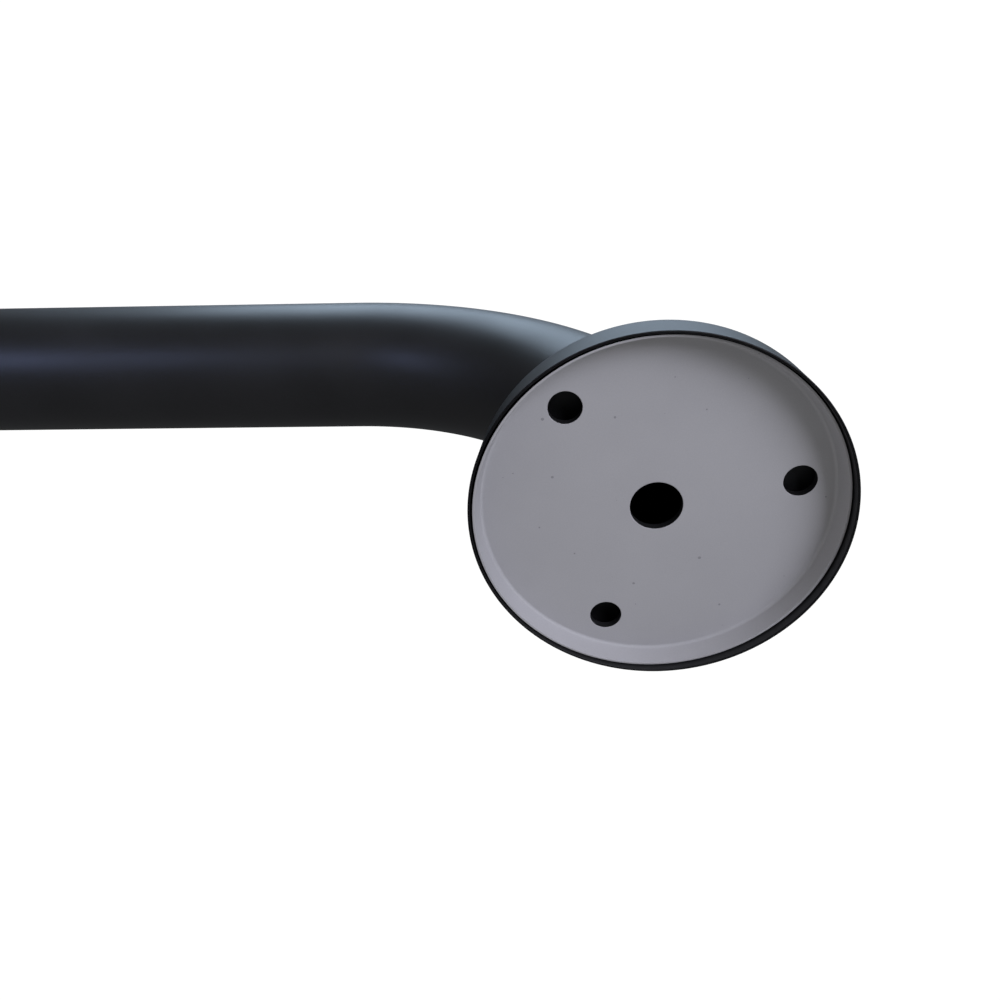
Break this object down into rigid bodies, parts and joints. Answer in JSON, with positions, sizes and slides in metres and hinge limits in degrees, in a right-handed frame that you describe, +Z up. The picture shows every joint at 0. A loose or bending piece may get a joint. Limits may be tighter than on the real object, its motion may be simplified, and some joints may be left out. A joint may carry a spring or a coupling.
{
  "type": "wall-fixed assist rail",
  "caption": "Straight round assist rail whose bent ends run to the wall, each with a dished screw-fixed flange plate under a sliding round cover.",
  "frame": {"origin": "on the wall plane, which is the plane of both flange plates' lips, midway between the two flanges", "axes": "+X along the rail, from the left flange to the right flange as seen from the room; +Y into the wall; +Z up"},
  "size_m": [0.53, 0.1171, 0.08],
  "materials": {
    "powder_coat": "satin black powder coat with a fine even grain",
    "plate_grey": "matt light grey coat on pressed steel",
    "ring_rubber": "matt black rubber"
  },
  "bodies": {
    "rail": {"rail_tube": "powder_coat", "left_flange_plate": "plate_grey", "right_flange_plate": "plate_grey"},
    "left_ring": {"left_grip_ring": "ring_rubber"},
    "left_cover": {"left_flange_cover": "powder_coat"},
    "right_ring": {"right_grip_ring": "ring_rubber"},
    "right_cover": {"right_flange_cover": "powder_coat"}
  },
  "joints": [
    {"name": "left_cover_slide", "type": "slide", "parent": "rail", "child": "left_ring", "axis": [0, -1, 0], "range_m": [0, 0.0135]},
    {"name": "left_cover_turn", "type": "hinge", "parent": "left_ring", "child": "left_cover", "pos_m": [-0.225, -0.0102, 0], "axis": [0, 1, 0], "continuous": true},
    {"name": "right_cover_slide", "type": "slide", "parent": "rail", "child": "right_ring", "axis": [0, -1, 0], "range_m": [0, 0.0135]},
    {"name": "right_cover_turn", "type": "hinge", "parent": "right_ring", "child": "right_cover", "pos_m": [0.225, -0.0102, 0], "axis": [0, 1, 0], "continuous": true}
  ]
}
